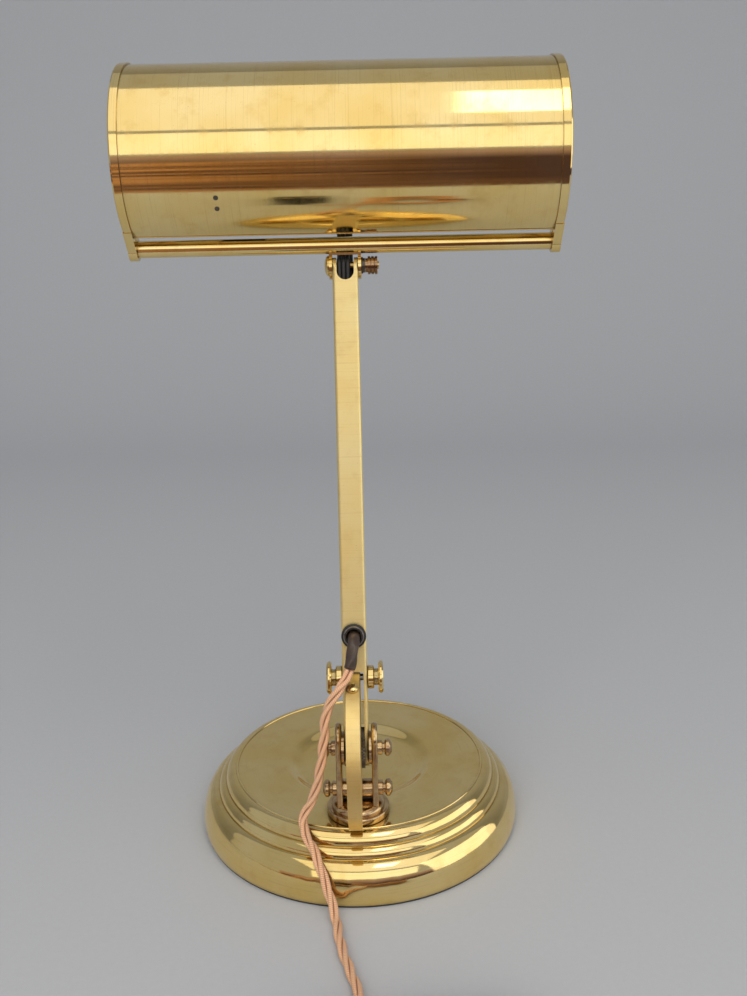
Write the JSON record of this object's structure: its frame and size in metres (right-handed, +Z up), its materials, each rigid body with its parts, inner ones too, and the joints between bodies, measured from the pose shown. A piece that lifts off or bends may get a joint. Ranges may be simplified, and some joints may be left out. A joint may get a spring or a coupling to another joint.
{
  "type": "desk lamp",
  "caption": "Adjustable brass desk lamp: a trough shade tilts on a square arm that is clamped along a slotted quadrant over a weighted round base, with a twisted flex.",
  "frame": {"origin": "centre of the base's underside, on the table", "axes": "+Z up, +X along the shade and the hinges, -Y on the side where the flex leaves the arm"},
  "size_m": [0.225, 0.379, 0.4312],
  "materials": {
    "felt": "matte felt",
    "steel": "satin",
    "iron": "rough cast",
    "brass": "polished",
    "dark_brass": "aged",
    "disc_steel": "dark",
    "black_rubber": "satin",
    "eyelet": "satin",
    "sleeve": "matte",
    "black_flex": "matte",
    "holder_brass": "satin",
    "bakelite": "gloss",
    "ivory": "gloss",
    "bulb_glass": "frosted",
    "filament": "satin",
    "copper_flex": "braided",
    "tie": "woven",
    "plug_black": "satin"
  },
  "bodies": {
    "base": {"base_felt": "felt", "base_bottom": "steel", "base_weight": "iron", "base_screws": "steel", "base_shell": "brass", "bracket": "dark_brass", "bracket_stud": "steel", "bracket_nut": "steel", "bracket_washer": "steel", "pivot_pin": "steel", "pivot_nuts": "dark_brass", "pivot_washers": "dark_brass", "friction_discs": "disc_steel", "stay_pin": "steel", "stay_nuts": "dark_brass", "stay_spacers": "dark_brass", "quadrant": "brass", "stop_screw": "brass", "cord_drop": "copper_flex", "cord_lead": "copper_flex", "cord_coil": "copper_flex", "coil_tie": "tie", "cord_tail": "copper_flex", "plug_cover": "plug_black", "plug_base": "plug_black", "plug_pins": "holder_brass", "plug_relief": "black_rubber"},
    "arm": {"arm_tube": "brass", "clamp_axle": "steel", "clamp_knob_left": "brass", "cord_bush": "black_rubber", "bush_eyelet": "eyelet", "cord_sleeve": "sleeve", "arm_flex": "black_flex"},
    "clamp_knob": {"clamp_knob_right": "brass"},
    "shade": {"yoke": "brass", "hinge_screw": "brass", "hinge_washers": "disc_steel", "rail": "brass", "shade_shell": "brass", "end_cap_left": "brass", "end_cap_right": "brass", "holder_bracket": "holder_brass", "holder_rivets": "dark_brass", "holder_nipple": "holder_brass", "holder_cap": "bakelite", "holder_skirt": "holder_brass", "bulb_cap": "holder_brass", "bulb_glass": "bulb_glass", "bulb_filament": "filament", "head_flex": "black_flex"},
    "thumb_nut": {"thumb_nut": "dark_brass"},
    "switch": {"switch_bar": "ivory"}
  },
  "joints": [
    {"name": "arm_tilt", "type": "hinge", "parent": "base", "child": "arm", "pos_m": [0, -0.055, 0.0738], "axis": [-1, 0, 0], "range_deg": [-15, 55], "deforming": ["cord_drop"]},
    {"name": "clamp_turn", "type": "hinge", "parent": "arm", "child": "clamp_knob", "pos_m": [0, -0.04683, 0.11224], "axis": [1, 0, 0], "range_deg": [-150, 150]},
    {"name": "shade_tilt", "type": "hinge", "parent": "arm", "child": "shade", "pos_m": [0, -0.00094, 0.32812], "axis": [-1, 0, 0], "range_deg": [-50, 50]},
    {"name": "thumb_nut_turn", "type": "hinge", "parent": "shade", "child": "thumb_nut", "pos_m": [0, -0.00094, 0.32812], "axis": [1, 0, 0], "range_deg": [-150, 150]},
    {"name": "switch_push", "type": "slide", "parent": "shade", "child": "switch", "axis": [0, -1, 0], "range_m": [0, 0.006]}
  ]
}
